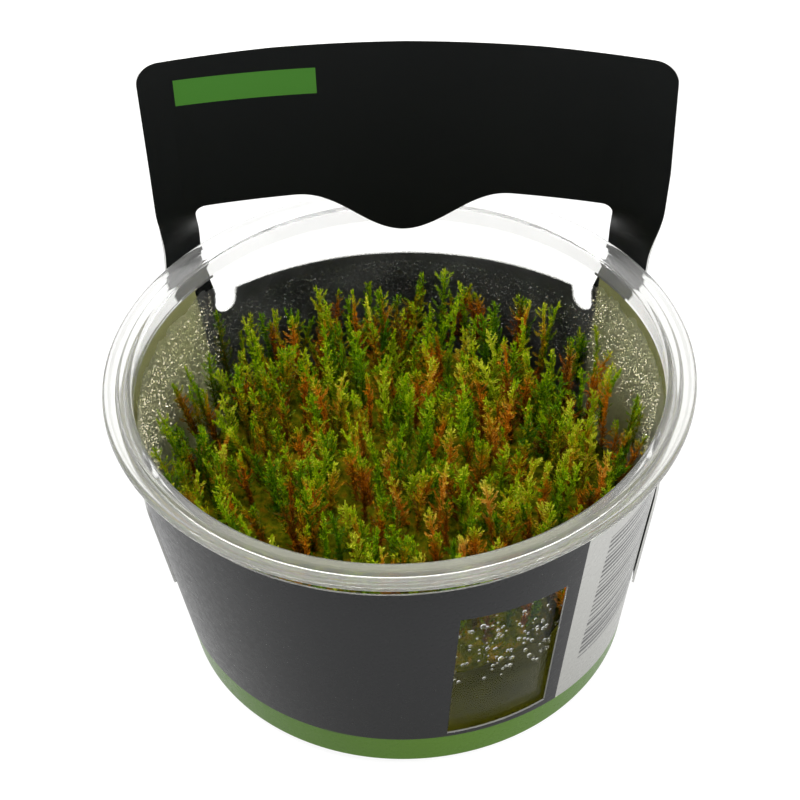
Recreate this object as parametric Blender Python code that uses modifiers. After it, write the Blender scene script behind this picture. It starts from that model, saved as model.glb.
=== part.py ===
"""Moss growing on clear gel in a round see-through tub, with a paper wrap label and a header card.

The tub stands on its base. The origin is the centre of the base, +Z is up, and -Y is the front, where
the wrap label has its window. Sizes below are in millimetres, and MM turns them into metres.
"""
import math
from collections import namedtuple

import bmesh
import bpy
from mathutils import Vector, noise

MM = 0.001
GAP = 0.3  # clearance between pieces that touch on the real thing

# The tub
RIM_RADIUS = 50.0
RIM_HEIGHT = 56.0  # height of the rim's widest circle above the base
WALL = 0.8
WALL_TOP_HEIGHT = 51.0
WALL_TOP_RADIUS = 45.6  # outside of the wall, just below the stacking step
WALL_FOOT_HEIGHT = 1.4
WALL_FOOT_RADIUS = 39.4
FOOT_CORNER = 2.4  # radius of the round corner between the wall and the base
STEP_TOP_HEIGHT = 52.4  # the wall steps outward here, so that the tubs stack
STEP_DEPTH = 0.3
LIP_TOP_HEIGHT = 56.95  # the flat ledge round the mouth
LIP_RADIUS = 47.2  # outside of that ledge
LIP_ROUND = 0.6  # how far its edges are rounded
FLANGE_TOP_HEIGHT = 56.2
FLANGE_UNDER_HEIGHT = 55.3
FLANGE_START_RADIUS = 47.85
FLANGE_END_RADIUS = 48.6
NECK_RADIUS = 46.1  # outside of the wall between the stacking step and the flange
BEAD_RADIUS = 0.8  # of the round edge of the rim
BEAD_STEPS = 6
TUB_STEPS = 72

# What is in the tub
GEL_HEIGHT = 19.0
GEL_CREEP = 0.5  # how far the gel climbs where it meets the wall
MOSS_TOP = 43.5  # mean height of the shoot tips
MOSS_ROUGHNESS = 2.6  # how far the tips rise and fall about that height
MOSS_LUMP = 7.0  # width of one lump of the mat
MOSS_EDGE = 0.4  # distance from the gap at the wall to the mat's side
MOSS_SHOULDER = 4.0  # height of the rounded edge at the mat's top
MOSS_RINGS = 9
MOSS_STEPS = 48

# The wrap label
LABEL_THICKNESS = 0.3
LABEL_BOTTOM = 1.4
LABEL_TOP = 51.4
LABEL_LOOSENESS = 0.7  # the label stands this much further off the wall at its top
LABEL_LEAN = -0.4  # its top edge sits this far to one side
LABEL_START = 53.5  # azimuths in degrees, from +Y towards +X
LABEL_END = 309.0
LABEL_CELLS = 55
WINDOW_BOTTOM_RIGHT = (146.1, 8.7)  # the window's corners: azimuth in degrees, and height
WINDOW_BOTTOM_LEFT = (171.8, 8.9)
WINDOW_TOP_LEFT = (169.3, 42.8)
WINDOW_TOP_RIGHT = (145.1, 41.4)

# The header card
CARD_THICKNESS = 0.4
CARD_AZIMUTH = 3.0  # the card's middle is turned this far from +Y
CARD_TOP = 101.0
CARD_HALF_WIDTH = 44.8
CARD_CORNER = 4.0
CARD_CROWN = 0.8  # the top edge is this much lower at its corners
CARD_FLARE = 0.6  # the upright panel is this much narrower at its foot
CARD_SHIFT = 1.7  # the upright panel sits this far to the right of its two legs
SHEET_DISTANCE = 31.1  # from the tub's axis to the middle of the upright sheet
SHEET_BEND = 170.0  # radius of the upright sheet's slight curve
SHEET_START = 70.0  # above this height the card is the upright sheet
CHORD_CIRCLE = 45.2  # the flat outline measures across the card as a chord of this circle
CUTOUT_HALF_WIDTH = 36.5
CUTOUT_TOP = 70.2
CUTOUT_CORNER = 1.9
CUTOUT_DROP = 0.4  # the cutout's top is this much lower at its corners
TONGUE_HALF_WIDTH = 18.9  # the rounded tongue that hangs into the cutout
TONGUE_BOTTOM = 61.7
TONGUE_POWER = 1.1  # over 1 makes the tongue more pointed
TONGUE_STEPS = 8
LEG_OUTER_AZIMUTH = 58.4
LEG_INNER_AZIMUTH = 48.0
LEG_RIM_AZIMUTH = 47.4  # the leg's inner edge at the height of the rim
LEG_CORNER = 3.0
NOTCH_AZIMUTH = 45.6
NOTCH_HALF_WIDTH = 2.2
NOTCH_BOTTOM = 41.9
NOTCH_SPREAD = 3.6  # the band's top edge ends this many degrees before the notch's middle
BAND_TOP = 44.0  # at the back, in the middle
BAND_BOTTOM = 3.0
BAND_END_AZIMUTH = 105.5
BAND_END_TOP = 35.0
BAND_END_BOTTOM = 13.0
BAND_END_CORNER = 2.5
BAND_STEPS = 10
BAND_HUG_HEIGHT = 46.5  # below this height the card lies against the label
RIM_CLEAR_BELOW = 2.6  # it stands clear of the rim from this far below the rim's widest circle
RIM_CLEAR_ABOVE = 1.8
CARD_CELL_ANGLE = 5.0  # the card bends along lines this far apart
CARD_CELL_HEIGHT = 2.0

Finish = namedtuple("Finish", "colour roughness metallic alpha")


def clear_scene():
    for obj in list(bpy.data.objects):
        bpy.data.objects.remove(obj, do_unlink=True)


def new_collection(name):
    collection = bpy.data.collections.new(name)
    bpy.context.scene.collection.children.link(collection)
    return collection


def add_material(obj, finish):
    material = bpy.data.materials.new(obj.name)
    material.use_nodes = True
    shader = material.node_tree.nodes["Principled BSDF"]
    shader.inputs["Base Color"].default_value = (*finish.colour, 1.0)
    shader.inputs["Roughness"].default_value = finish.roughness
    shader.inputs["Metallic"].default_value = finish.metallic
    shader.inputs["Alpha"].default_value = finish.alpha
    obj.data.materials.append(material)


def add_object(name, mesh, collection, finish):
    obj = bpy.data.objects.new(name, mesh)
    collection.objects.link(obj)
    add_material(obj, finish)
    return obj


def shade_smooth(mesh, angle=30.0):
    mesh.shade_smooth()
    mesh.set_sharp_from_angle(angle=math.radians(angle))


def arc(centre, radius, start, end, steps):
    """Points on an arc in the drawing plane, from angle start to angle end in degrees."""
    angles = [start + (end - start) * i / steps for i in range(steps + 1)]
    turns = [math.radians(angle) for angle in angles]
    return [(centre[0] + radius * math.cos(t), centre[1] + radius * math.sin(t)) for t in turns]


def ease(low, high, value):
    """0 below low, 1 above high, and a smooth S between them."""
    t = min(max((value - low) / (high - low), 0.0), 1.0)
    return t * t * (3.0 - 2.0 * t)


def evaluated_mesh(obj):
    """A plain mesh of what the object's modifiers make. The object itself is removed."""
    depsgraph = bpy.context.evaluated_depsgraph_get()
    mesh = bpy.data.meshes.new_from_object(obj.evaluated_get(depsgraph))
    bpy.data.objects.remove(obj, do_unlink=True)
    return mesh


def turned(name, profile, steps, collection, finish):
    """A profile of (radius, height) points that starts and ends on the axis, turned about +Z."""
    mesh = bpy.data.meshes.new(name)
    points = [(radius * MM, 0.0, height * MM) for radius, height in profile]
    mesh.from_pydata(points, [(i, i + 1) for i in range(len(points) - 1)], [])
    obj = add_object(name, mesh, collection, finish)
    screw = obj.modifiers.new("turn", "SCREW")
    screw.axis = "Z"
    screw.angle = math.tau
    screw.steps = steps
    screw.render_steps = steps
    screw.use_merge_vertices = True
    screw.merge_threshold = 0.00001
    screw.use_smooth_shade = True
    return obj


def wall_radius(height):
    """Outside radius of the tub's wall."""
    slope = (WALL_TOP_RADIUS - WALL_FOOT_RADIUS) / (WALL_TOP_HEIGHT - WALL_FOOT_HEIGHT)
    return WALL_FOOT_RADIUS + slope * (height - WALL_FOOT_HEIGHT)


def tub_profile():
    """From the middle of the inside floor, up the inside, over the rim, down the outside."""
    inner_corner = FOOT_CORNER - WALL / 2
    corner_height = WALL + inner_corner
    corner_radius = wall_radius(corner_height) - WALL
    throat = WALL_TOP_RADIUS - WALL
    step_middle = (WALL_TOP_HEIGHT + STEP_TOP_HEIGHT) / 2
    inside = [(0.0, WALL)]
    inside += arc((corner_radius - inner_corner, corner_height), inner_corner, -90, 0, 3)
    inside.append((throat, WALL_TOP_HEIGHT))
    inside.append((throat + STEP_DEPTH / 2, step_middle))
    inside.append((throat + STEP_DEPTH, STEP_TOP_HEIGHT))
    mouth = throat + STEP_DEPTH + LIP_ROUND
    lip = arc((mouth, LIP_TOP_HEIGHT - LIP_ROUND), LIP_ROUND, 180, 90, 2)
    lip.append((LIP_RADIUS, LIP_TOP_HEIGHT))
    lip.append(((LIP_RADIUS + FLANGE_START_RADIUS) / 2, LIP_TOP_HEIGHT - LIP_ROUND / 3))
    flange = [(FLANGE_START_RADIUS, FLANGE_TOP_HEIGHT), (FLANGE_END_RADIUS, FLANGE_TOP_HEIGHT)]
    flange += arc((RIM_RADIUS - BEAD_RADIUS, RIM_HEIGHT), BEAD_RADIUS, 90, -90, BEAD_STEPS)
    flange.append((FLANGE_END_RADIUS, FLANGE_UNDER_HEIGHT))
    neck_top = FLANGE_UNDER_HEIGHT - LIP_ROUND
    flange += arc((NECK_RADIUS + LIP_ROUND, neck_top), LIP_ROUND, 90, 180, 2)
    outside = [(NECK_RADIUS, STEP_TOP_HEIGHT)]
    outside.append(((NECK_RADIUS + WALL_TOP_RADIUS) / 2, step_middle))
    outside.append((WALL_TOP_RADIUS, WALL_TOP_HEIGHT))
    foot = (wall_radius(FOOT_CORNER) - FOOT_CORNER, FOOT_CORNER)
    outside += arc(foot, FOOT_CORNER, 0, -90, 4)
    outside.append((0.0, 0.0))
    return inside + lip + flange + outside


def gel_profile():
    """From the middle of the gel's top, out, and down inside the wall."""
    clear = WALL + GAP
    top = wall_radius(GEL_HEIGHT) - clear
    corner = FOOT_CORNER - WALL
    low = clear + corner
    foot = wall_radius(low) - clear
    profile = [(0.0, GEL_HEIGHT), (top - 1.5 * GEL_CREEP, GEL_HEIGHT), (top, GEL_HEIGHT + GEL_CREEP)]
    profile += arc((foot - corner, low), corner, 0, -90, 3)
    profile.append((0.0, clear))
    return profile


def moss_profile():
    """From the middle of the mat's top, out, over its shoulder, and down to the gel."""
    bottom = GEL_HEIGHT + GEL_CREEP + GAP
    clear = WALL + GAP + MOSS_EDGE
    reach = wall_radius(MOSS_TOP) - clear - MOSS_EDGE
    low = MOSS_TOP - MOSS_SHOULDER
    top = [(reach * i / MOSS_RINGS, MOSS_TOP) for i in range(MOSS_RINGS + 1)]
    side = [(wall_radius(low) - clear, low), (wall_radius(bottom) - clear, bottom)]
    return top + side + [(0.0, bottom)]


def make_tub(parts):
    finish = Finish((0.93, 0.94, 0.94), 0.06, 0.0, 0.25)
    turned("tub", tub_profile(), TUB_STEPS, parts, finish)


def make_gel(parts):
    finish = Finish((0.62, 0.62, 0.42), 0.1, 0.0, 0.5)
    turned("growth_gel", gel_profile(), TUB_STEPS, parts, finish)


def make_moss(parts):
    """The mat of shoots as one closed solid whose lumpy top reaches the tips."""
    finish = Finish((0.16, 0.24, 0.02), 0.7, 0.0, 1.0)
    mesh = evaluated_mesh(turned("moss_clump", moss_profile(), MOSS_STEPS, parts, finish))
    for vertex in mesh.vertices:
        if vertex.co.z > (MOSS_TOP - MOSS_SHOULDER / 2) * MM:
            lump = noise.noise(Vector((vertex.co.x, vertex.co.y, 0.0)) / (MOSS_LUMP * MM))
            vertex.co.z += lump * MOSS_ROUGHNESS * MM
    parts.objects.link(bpy.data.objects.new("moss_clump", mesh))


def flat_outline(name, loops):
    """A flat sheet in the XY plane, bounded by the first loop, with the other loops as holes."""
    curve = bpy.data.curves.new(name, "CURVE")
    curve.dimensions = "2D"
    curve.fill_mode = "BOTH"
    for loop in loops:
        spline = curve.splines.new("POLY")
        spline.points.add(len(loop) - 1)
        for point, (x, y) in zip(spline.points, loop):
            point.co = (x * MM, y * MM, 0.0, 1.0)
        spline.use_cyclic_u = True
    obj = bpy.data.objects.new(name, curve)
    bpy.context.scene.collection.objects.link(obj)
    return evaluated_mesh(obj)


def cut_to_cells(mesh, columns, rows):
    """Cuts the flat sheet along lines of constant x and y, so that it can bend there."""
    sheet = bmesh.new()
    sheet.from_mesh(mesh)
    bmesh.ops.remove_doubles(sheet, verts=sheet.verts, dist=0.00001)
    for axis, places in ((0, columns), (1, rows)):
        normal = Vector((1.0, 0.0, 0.0)) if axis == 0 else Vector((0.0, 1.0, 0.0))
        for place in places:
            geometry = sheet.verts[:] + sheet.edges[:] + sheet.faces[:]
            bmesh.ops.bisect_plane(
                sheet, geom=geometry, dist=0.000002, plane_co=normal * place * MM, plane_no=normal
            )

    def on_a_line(edge, axis, places):
        first, second = edge.verts[0].co[axis], edge.verts[1].co[axis]
        return any(max(abs(first - p * MM), abs(second - p * MM)) < 0.000004 for p in places)

    spare = [
        edge
        for edge in sheet.edges
        if len(edge.link_faces) == 2 and not on_a_line(edge, 0, columns) and not on_a_line(edge, 1, rows)
    ]
    bmesh.ops.dissolve_edges(sheet, edges=spare, use_verts=False)
    loose = [v for v in sheet.verts if len(v.link_edges) == 2 and not v.is_boundary]
    bmesh.ops.dissolve_verts(sheet, verts=loose)
    sheet.to_mesh(mesh)
    sheet.free()


def bent_sheet(name, mesh, place, thickness, parts, finish):
    """Moves each flat point to place(x, y), and gives the sheet its thickness."""
    for vertex in mesh.vertices:
        vertex.co = Vector(place(vertex.co.x / MM, vertex.co.y / MM)) * MM
    shade_smooth(mesh)
    obj = add_object(name, mesh, parts, finish)
    solidify = obj.modifiers.new("thickness", "SOLIDIFY")
    solidify.thickness = thickness * MM
    solidify.offset = 0.0
    solidify.use_even_offset = True


def label_radius(height):
    """Middle of the paper: it touches the wall at its foot and stands off towards its top."""
    rise = (height - LABEL_BOTTOM) / (LABEL_TOP - LABEL_BOTTOM)
    return wall_radius(height) + GAP + LABEL_THICKNESS / 2 + LABEL_LOOSENESS * rise


def on_circle(radius, azimuth, height, lean):
    turn = math.radians(azimuth)
    return (lean + radius * math.sin(turn), radius * math.cos(turn), height)


def label_loops():
    """The wrap's outline and its window, as azimuth (degrees) and height."""
    edge = [(LABEL_START, LABEL_BOTTOM), (LABEL_END, LABEL_BOTTOM)]
    edge += [(LABEL_END, LABEL_TOP), (LABEL_START, LABEL_TOP)]
    window = [WINDOW_BOTTOM_RIGHT, WINDOW_BOTTOM_LEFT, WINDOW_TOP_LEFT, WINDOW_TOP_RIGHT]
    return [edge, window]


def make_label(parts):
    mesh = flat_outline("label_flat", label_loops())
    cell = (LABEL_END - LABEL_START) / LABEL_CELLS
    cut_to_cells(mesh, [LABEL_START + cell * i for i in range(1, LABEL_CELLS)], [])
    finish = Finish((0.06, 0.062, 0.066), 0.45, 0.0, 1.0)

    def place(azimuth, height):
        return on_circle(label_radius(height), azimuth, height, LABEL_LEAN * height / LABEL_TOP)

    bent_sheet("front_label", mesh, place, LABEL_THICKNESS, parts, finish)


def chord(azimuth):
    """Distance across the flat card of a point at this azimuth from the card's middle."""
    return 2 * CHORD_CIRCLE * math.sin(math.radians(azimuth) / 2)


def straight_cut(azimuth, middle):
    """Height of a straight cut in a card that wraps a cone: it rises towards the card's ends."""
    slant = wall_radius(1.0) - wall_radius(0.0)
    spread = math.radians(azimuth) * math.sin(math.atan(slant))
    return middle + wall_radius(middle) / slant * (1.0 / math.cos(spread) - 1.0)


def card_outer_half():
    """Right half of the card's outside, from the middle of the bottom to the middle of the top."""
    full_rise = straight_cut(BAND_END_AZIMUTH, BAND_BOTTOM) - BAND_BOTTOM
    bottom = []
    for i in range(BAND_STEPS):
        azimuth = BAND_END_AZIMUTH * i / BAND_STEPS
        share = (straight_cut(azimuth, BAND_BOTTOM) - BAND_BOTTOM) / full_rise
        bottom.append((chord(azimuth), BAND_BOTTOM + (BAND_END_BOTTOM - BAND_BOTTOM) * share))
    end = chord(BAND_END_AZIMUTH)
    low = (end - BAND_END_CORNER, BAND_END_BOTTOM + BAND_END_CORNER)
    high = (end - BAND_END_CORNER, BAND_END_TOP - BAND_END_CORNER)
    wing = arc(low, BAND_END_CORNER, -90, 0, 3) + arc(high, BAND_END_CORNER, 0, 75, 3)
    shoulder_height = BAND_HUG_HEIGHT + 0.75 * LEG_CORNER
    shoulder = arc((chord(LEG_OUTER_AZIMUTH) + LEG_CORNER, shoulder_height), LEG_CORNER, 255, 180, 3)
    side = [(CARD_HALF_WIDTH - CARD_FLARE, SHEET_START - CARD_CORNER)]
    side.append((CARD_HALF_WIDTH - CARD_FLARE / 3, SHEET_START + 2 * CARD_CORNER))
    corner = (CARD_HALF_WIDTH - CARD_CORNER, CARD_TOP - CARD_CROWN - CARD_CORNER)
    top = arc(corner, CARD_CORNER, 0, 88, 5)
    top += [(CARD_HALF_WIDTH / 2, CARD_TOP - CARD_CROWN / 4), (0.0, CARD_TOP)]
    return bottom + wing + shoulder + side + top


def card_cutout_half():
    """Right half of the cutout, from the middle of its bottom to the middle of the tongue."""
    steps = 6
    low = []
    for i in range(steps + 1):
        azimuth = (NOTCH_AZIMUTH - NOTCH_SPREAD) * i / steps
        low.append((chord(azimuth), straight_cut(azimuth, BAND_TOP)))
    notch = (chord(NOTCH_AZIMUTH), NOTCH_BOTTOM + NOTCH_HALF_WIDTH)
    low += arc(notch, NOTCH_HALF_WIDTH, 180, 360, 6)
    leg = [(chord(LEG_INNER_AZIMUTH), BAND_HUG_HEIGHT), (chord(LEG_RIM_AZIMUTH), RIM_HEIGHT)]
    corner = (CUTOUT_HALF_WIDTH - CUTOUT_CORNER, CUTOUT_TOP - CUTOUT_CORNER - CUTOUT_DROP)
    top = arc(corner, CUTOUT_CORNER, 0, 90, 4)
    tongue = []
    for i in range(TONGUE_STEPS + 1):
        t = i / TONGUE_STEPS
        drop = ((1.0 - math.cos(math.pi * t)) / 2) ** TONGUE_POWER
        tongue.append((TONGUE_HALF_WIDTH * (1.0 - t), CUTOUT_TOP - (CUTOUT_TOP - TONGUE_BOTTOM) * drop))
    return low + leg + top + tongue


def mirrored(half):
    """The closed loop of a right half whose first and last points are on the middle line."""
    middle = 0.001
    left = [(-x, y) for x, y in reversed(half) if x > middle]
    return half + left


def shifted(loop, shift):
    """Moves the part of the loop that is above the rim sideways."""
    return [(x + shift * ease(RIM_HEIGHT, SHEET_START, y), y) for x, y in loop]


def wrapped_card(azimuth, height):
    """Middle of the card where it wraps the tub: against the label, then out round the rim."""
    against = label_radius(height) + LABEL_THICKNESS / 2 + GAP + CARD_THICKNESS / 2
    clear = RIM_RADIUS + GAP + CARD_THICKNESS / 2
    share = ease(BAND_HUG_HEIGHT, RIM_HEIGHT - RIM_CLEAR_BELOW, height)
    radius = against + (clear - against) * share
    return Vector(on_circle(radius, azimuth, height, LABEL_LEAN * height / LABEL_TOP * (1.0 - share)))


def card_place(across, height):
    """Round the tub at the bottom, flat and upright at the top, with the tongue kept upright."""
    azimuth = math.degrees(2 * math.asin(across / (2 * CHORD_CIRCLE)))
    wrapped = wrapped_card(azimuth, height)
    upright = Vector((across, SHEET_DISTANCE - across**2 / (2 * SHEET_BEND), height))
    share = ease(RIM_HEIGHT + RIM_CLEAR_ABOVE, SHEET_START, height)
    if height > RIM_HEIGHT:
        beside = ease(TONGUE_HALF_WIDTH, CUTOUT_HALF_WIDTH - CUTOUT_CORNER, abs(across))
        share = 1.0 - (1.0 - share) * beside
    spot = wrapped.lerp(upright, share)
    turn = math.radians(-CARD_AZIMUTH)
    x = spot.x * math.cos(turn) - spot.y * math.sin(turn)
    y = spot.x * math.sin(turn) + spot.y * math.cos(turn)
    return (x, y, height)


def make_card(parts):
    outside = shifted(mirrored(card_outer_half()), CARD_SHIFT)
    cutout = shifted(mirrored(card_cutout_half()), CARD_SHIFT / 4)
    mesh = flat_outline("card_flat", [outside, cutout])
    reach = int(BAND_END_AZIMUTH // CARD_CELL_ANGLE)
    columns = [chord(CARD_CELL_ANGLE * i + 1.0) for i in range(-reach, reach + 1)]
    low = BAND_HUG_HEIGHT + 0.7
    rows = [low + CARD_CELL_HEIGHT * i for i in range(int((SHEET_START - low) // CARD_CELL_HEIGHT) + 1)]
    cut_to_cells(mesh, columns, rows)
    finish = Finish((0.012, 0.013, 0.014), 0.5, 0.0, 1.0)
    bent_sheet("header_card", mesh, card_place, CARD_THICKNESS, parts, finish)


def main():
    clear_scene()
    parts = new_collection("moss_in_tub")
    make_tub(parts)
    make_gel(parts)
    make_moss(parts)
    make_label(parts)
    make_card(parts)


main()
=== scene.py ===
"""A clump of moss in a clear tub with a wrap label and a header card, dressed for its picture."""
import math

import bmesh
import bpy
import numpy as np
from mathutils import Matrix, Vector, noise


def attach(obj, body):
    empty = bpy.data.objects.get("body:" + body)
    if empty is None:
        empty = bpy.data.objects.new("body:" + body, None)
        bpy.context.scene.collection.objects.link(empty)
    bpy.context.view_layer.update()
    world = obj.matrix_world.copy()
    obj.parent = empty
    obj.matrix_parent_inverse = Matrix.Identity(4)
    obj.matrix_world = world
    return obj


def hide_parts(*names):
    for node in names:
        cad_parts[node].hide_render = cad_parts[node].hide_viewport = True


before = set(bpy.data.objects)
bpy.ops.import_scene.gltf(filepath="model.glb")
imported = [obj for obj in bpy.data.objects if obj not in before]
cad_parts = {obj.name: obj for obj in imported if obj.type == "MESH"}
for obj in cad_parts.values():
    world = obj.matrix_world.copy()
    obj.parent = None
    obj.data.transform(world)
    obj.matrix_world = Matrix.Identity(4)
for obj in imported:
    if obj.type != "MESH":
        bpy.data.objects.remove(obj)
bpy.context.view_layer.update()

MM = 0.001
IMAGE_SIZE = 800
GAP = 0.3

# The tub, in millimetres, as in the CAD model
RIM_RADIUS = 50.0
RIM_HEIGHT = 56.0
WALL = 0.8
WALL_TOP_HEIGHT = 51.0
WALL_TOP_RADIUS = 45.6
WALL_FOOT_HEIGHT = 1.4
WALL_FOOT_RADIUS = 39.4
FOOT_CORNER = 2.4
STEP_TOP_HEIGHT = 52.4
STEP_DEPTH = 0.3
LIP_TOP_HEIGHT = 56.95
LIP_RADIUS = 47.2
LIP_ROUND = 0.6
FLANGE_TOP_HEIGHT = 56.2
FLANGE_UNDER_HEIGHT = 55.3
FLANGE_START_RADIUS = 47.85
FLANGE_END_RADIUS = 48.6
NECK_RADIUS = 46.1
BEAD_RADIUS = 0.8
TUB_STEPS = 216

GEL_HEIGHT = 19.0
GEL_CREEP = 0.5

LABEL_THICKNESS = 0.3
LABEL_BOTTOM = 1.4
LABEL_TOP = 51.4
LABEL_LOOSENESS = 0.7
LABEL_LEAN = -0.4
LABEL_START = 53.5
LABEL_END = 309.0
LABEL_CELLS = 180
WINDOW_BOTTOM_RIGHT = (146.1, 8.7)
WINDOW_BOTTOM_LEFT = (171.8, 8.9)
WINDOW_TOP_LEFT = (169.3, 42.8)
WINDOW_TOP_RIGHT = (145.1, 41.4)

CARD_THICKNESS = 0.4
CARD_AZIMUTH = 3.0
CARD_TOP = 101.0
CARD_HALF_WIDTH = 44.8
CARD_CORNER = 4.0
CARD_CROWN = 0.8
CARD_FLARE = 0.6
CARD_SHIFT = 1.7
SHEET_DISTANCE = 31.1
SHEET_BEND = 170.0
SHEET_START = 70.0
CHORD_CIRCLE = 45.2
CUTOUT_HALF_WIDTH = 36.5
CUTOUT_TOP = 70.2
CUTOUT_CORNER = 1.9
CUTOUT_DROP = 0.4
TONGUE_HALF_WIDTH = 18.9
TONGUE_BOTTOM = 61.7
TONGUE_POWER = 1.1
TONGUE_STEPS = 24
LEG_OUTER_AZIMUTH = 58.4
LEG_INNER_AZIMUTH = 48.0
LEG_RIM_AZIMUTH = 47.4
LEG_CORNER = 3.0
NOTCH_AZIMUTH = 45.6
NOTCH_HALF_WIDTH = 2.2
NOTCH_BOTTOM = 41.9
NOTCH_SPREAD = 3.6
BAND_TOP = 44.0
BAND_BOTTOM = 3.0
BAND_END_AZIMUTH = 105.5
BAND_END_TOP = 35.0
BAND_END_BOTTOM = 13.0
BAND_END_CORNER = 2.5
BAND_STEPS = 24
BAND_HUG_HEIGHT = 46.5
RIM_CLEAR_BELOW = 2.6
RIM_CLEAR_ABOVE = 1.8


def srgb(red, green, blue):
    """A colour given as it looks on screen, 0 to 255, as a linear RGBA value."""
    def linear(value):
        value /= 255.0
        return value / 12.92 if value <= 0.04045 else ((value + 0.055) / 1.055) ** 2.4
    return (linear(red), linear(green), linear(blue), 1.0)


def ease(low, high, value):
    """0 below low, 1 above high, and a smooth S between them."""
    t = min(max((value - low) / (high - low), 0.0), 1.0)
    return t * t * (3.0 - 2.0 * t)


def arc(centre, radius, start, end, steps):
    angles = [math.radians(start + (end - start) * i / steps) for i in range(steps + 1)]
    return [(centre[0] + radius * math.cos(t), centre[1] + radius * math.sin(t)) for t in angles]


# Node helpers

class Shader:
    """A material's node tree with short calls that add a node and join its inputs."""

    def __init__(self, name):
        self.material = bpy.data.materials.new(name)
        self.material.use_nodes = True
        self.tree = self.material.node_tree
        self.surface = self.tree.nodes["Principled BSDF"]
        self.output = self.tree.nodes["Material Output"]

    def node(self, kind, inputs=None, **settings):
        node = self.tree.nodes.new("ShaderNode" + kind)
        for key, value in settings.items():
            setattr(node, key, value)
        for key, value in (inputs or {}).items():
            self.put(node, key, value)
        return node

    def put(self, node, key, value):
        if isinstance(value, bpy.types.NodeSocket):
            self.tree.links.new(value, node.inputs[key])
        else:
            node.inputs[key].default_value = value

    def set(self, **inputs):
        for key, value in inputs.items():
            self.put(self.surface, key.replace("_", " "), value)

    def maths(self, operation, *values, clamp=False):
        node = self.node("Math", operation=operation, use_clamp=clamp)
        for i, value in enumerate(values):
            self.put(node, i, value)
        return node.outputs[0]

    def between(self, value, low, high):
        """1 where value is between low and high."""
        above = self.maths("GREATER_THAN", value, low)
        below = self.maths("LESS_THAN", value, high)
        return self.maths("MULTIPLY", above, below)

    def mix(self, factor, first, second):
        node = self.node("Mix", data_type="RGBA", clamp_factor=True)
        self.put(node, 0, factor)
        self.put(node, 6, first)
        self.put(node, 7, second)
        return node.outputs[2]

    def noise(self, scale, detail=3.0, vector=None, rough=0.5):
        node = self.node("TexNoise", {"Scale": scale, "Detail": detail, "Roughness": rough})
        if vector is None:
            vector = self.node("TexCoord").outputs["Object"]
        self.put(node, "Vector", vector)
        return node.outputs["Fac"]

    def ramp(self, value, stops):
        node = self.node("ValToRGB", {"Fac": value})
        elements = node.color_ramp.elements
        while len(elements) < len(stops):
            elements.new(0.5)
        for element, (place, colour) in zip(elements, stops):
            element.position = place
            element.color = colour
        return node.outputs["Color"]

    def range(self, value, low, high, to_low, to_high):
        node = self.node("MapRange", {"From Min": low, "From Max": high})
        self.put(node, "Value", value)
        self.put(node, "To Min", to_low)
        self.put(node, "To Max", to_high)
        return node.outputs[0]

    def bump(self, height, strength, distance):
        node = self.node("Bump", {"Strength": strength, "Distance": distance, "Height": height})
        self.put(self.surface, "Normal", node.outputs["Normal"])


# Mesh helpers

def add_piece(name, mesh, node, materials, smooth_angle=35.0):
    obj = bpy.data.objects.new(name, mesh)
    bpy.context.scene.collection.objects.link(obj)
    for material in materials:
        mesh.materials.append(material)
    if smooth_angle:
        mesh.shade_smooth()
        mesh.set_sharp_from_angle(angle=math.radians(smooth_angle))
    if node:
        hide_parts(node)
    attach(obj, "root")
    return obj


def lathe(name, profile, steps):
    """A closed body: the profile's ends are on the axis. Points are (radius, height) in millimetres."""
    vertices, rings = [], []
    for radius, height in profile:
        if radius < 1e-6:
            rings.append([len(vertices)])
            vertices.append((0.0, 0.0, height * MM))
            continue
        rings.append(list(range(len(vertices), len(vertices) + steps)))
        for i in range(steps):
            turn = math.tau * i / steps
            vertices.append((radius * math.cos(turn) * MM, radius * math.sin(turn) * MM, height * MM))
    faces = []
    for low, high in zip(rings, rings[1:]):
        for i in range(steps):
            j = (i + 1) % steps
            corners = [low[i % len(low)], low[j % len(low)], high[j % len(high)], high[i % len(high)]]
            faces.append(tuple(dict.fromkeys(corners)))
    mesh = bpy.data.meshes.new(name)
    mesh.from_pydata(vertices, [], faces)
    body = bmesh.new()
    body.from_mesh(mesh)
    bmesh.ops.recalc_face_normals(body, faces=body.faces)
    body.to_mesh(mesh)
    body.free()
    return mesh


def mesh_from_arrays(name, vertices, faces, tints=None):
    """vertices (n, 3) in millimetres, and faces (m, 3) of their numbers."""
    mesh = bpy.data.meshes.new(name)
    mesh.vertices.add(len(vertices))
    mesh.vertices.foreach_set("co", (vertices * MM).astype(np.float32).ravel())
    mesh.loops.add(faces.size)
    mesh.loops.foreach_set("vertex_index", faces.astype(np.int32).ravel())
    mesh.polygons.add(len(faces))
    mesh.polygons.foreach_set("loop_start", np.arange(0, faces.size, 3, dtype=np.int32))
    mesh.update(calc_edges=True)
    if tints is not None:
        layer = mesh.color_attributes.new("tint", "FLOAT_COLOR", "POINT")
        layer.data.foreach_set("color", tints.astype(np.float32).ravel())
    mesh.validate()
    return mesh


def wall_radius(height):
    slope = (WALL_TOP_RADIUS - WALL_FOOT_RADIUS) / (WALL_TOP_HEIGHT - WALL_FOOT_HEIGHT)
    return WALL_FOOT_RADIUS + slope * (height - WALL_FOOT_HEIGHT)


# The tub

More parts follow.
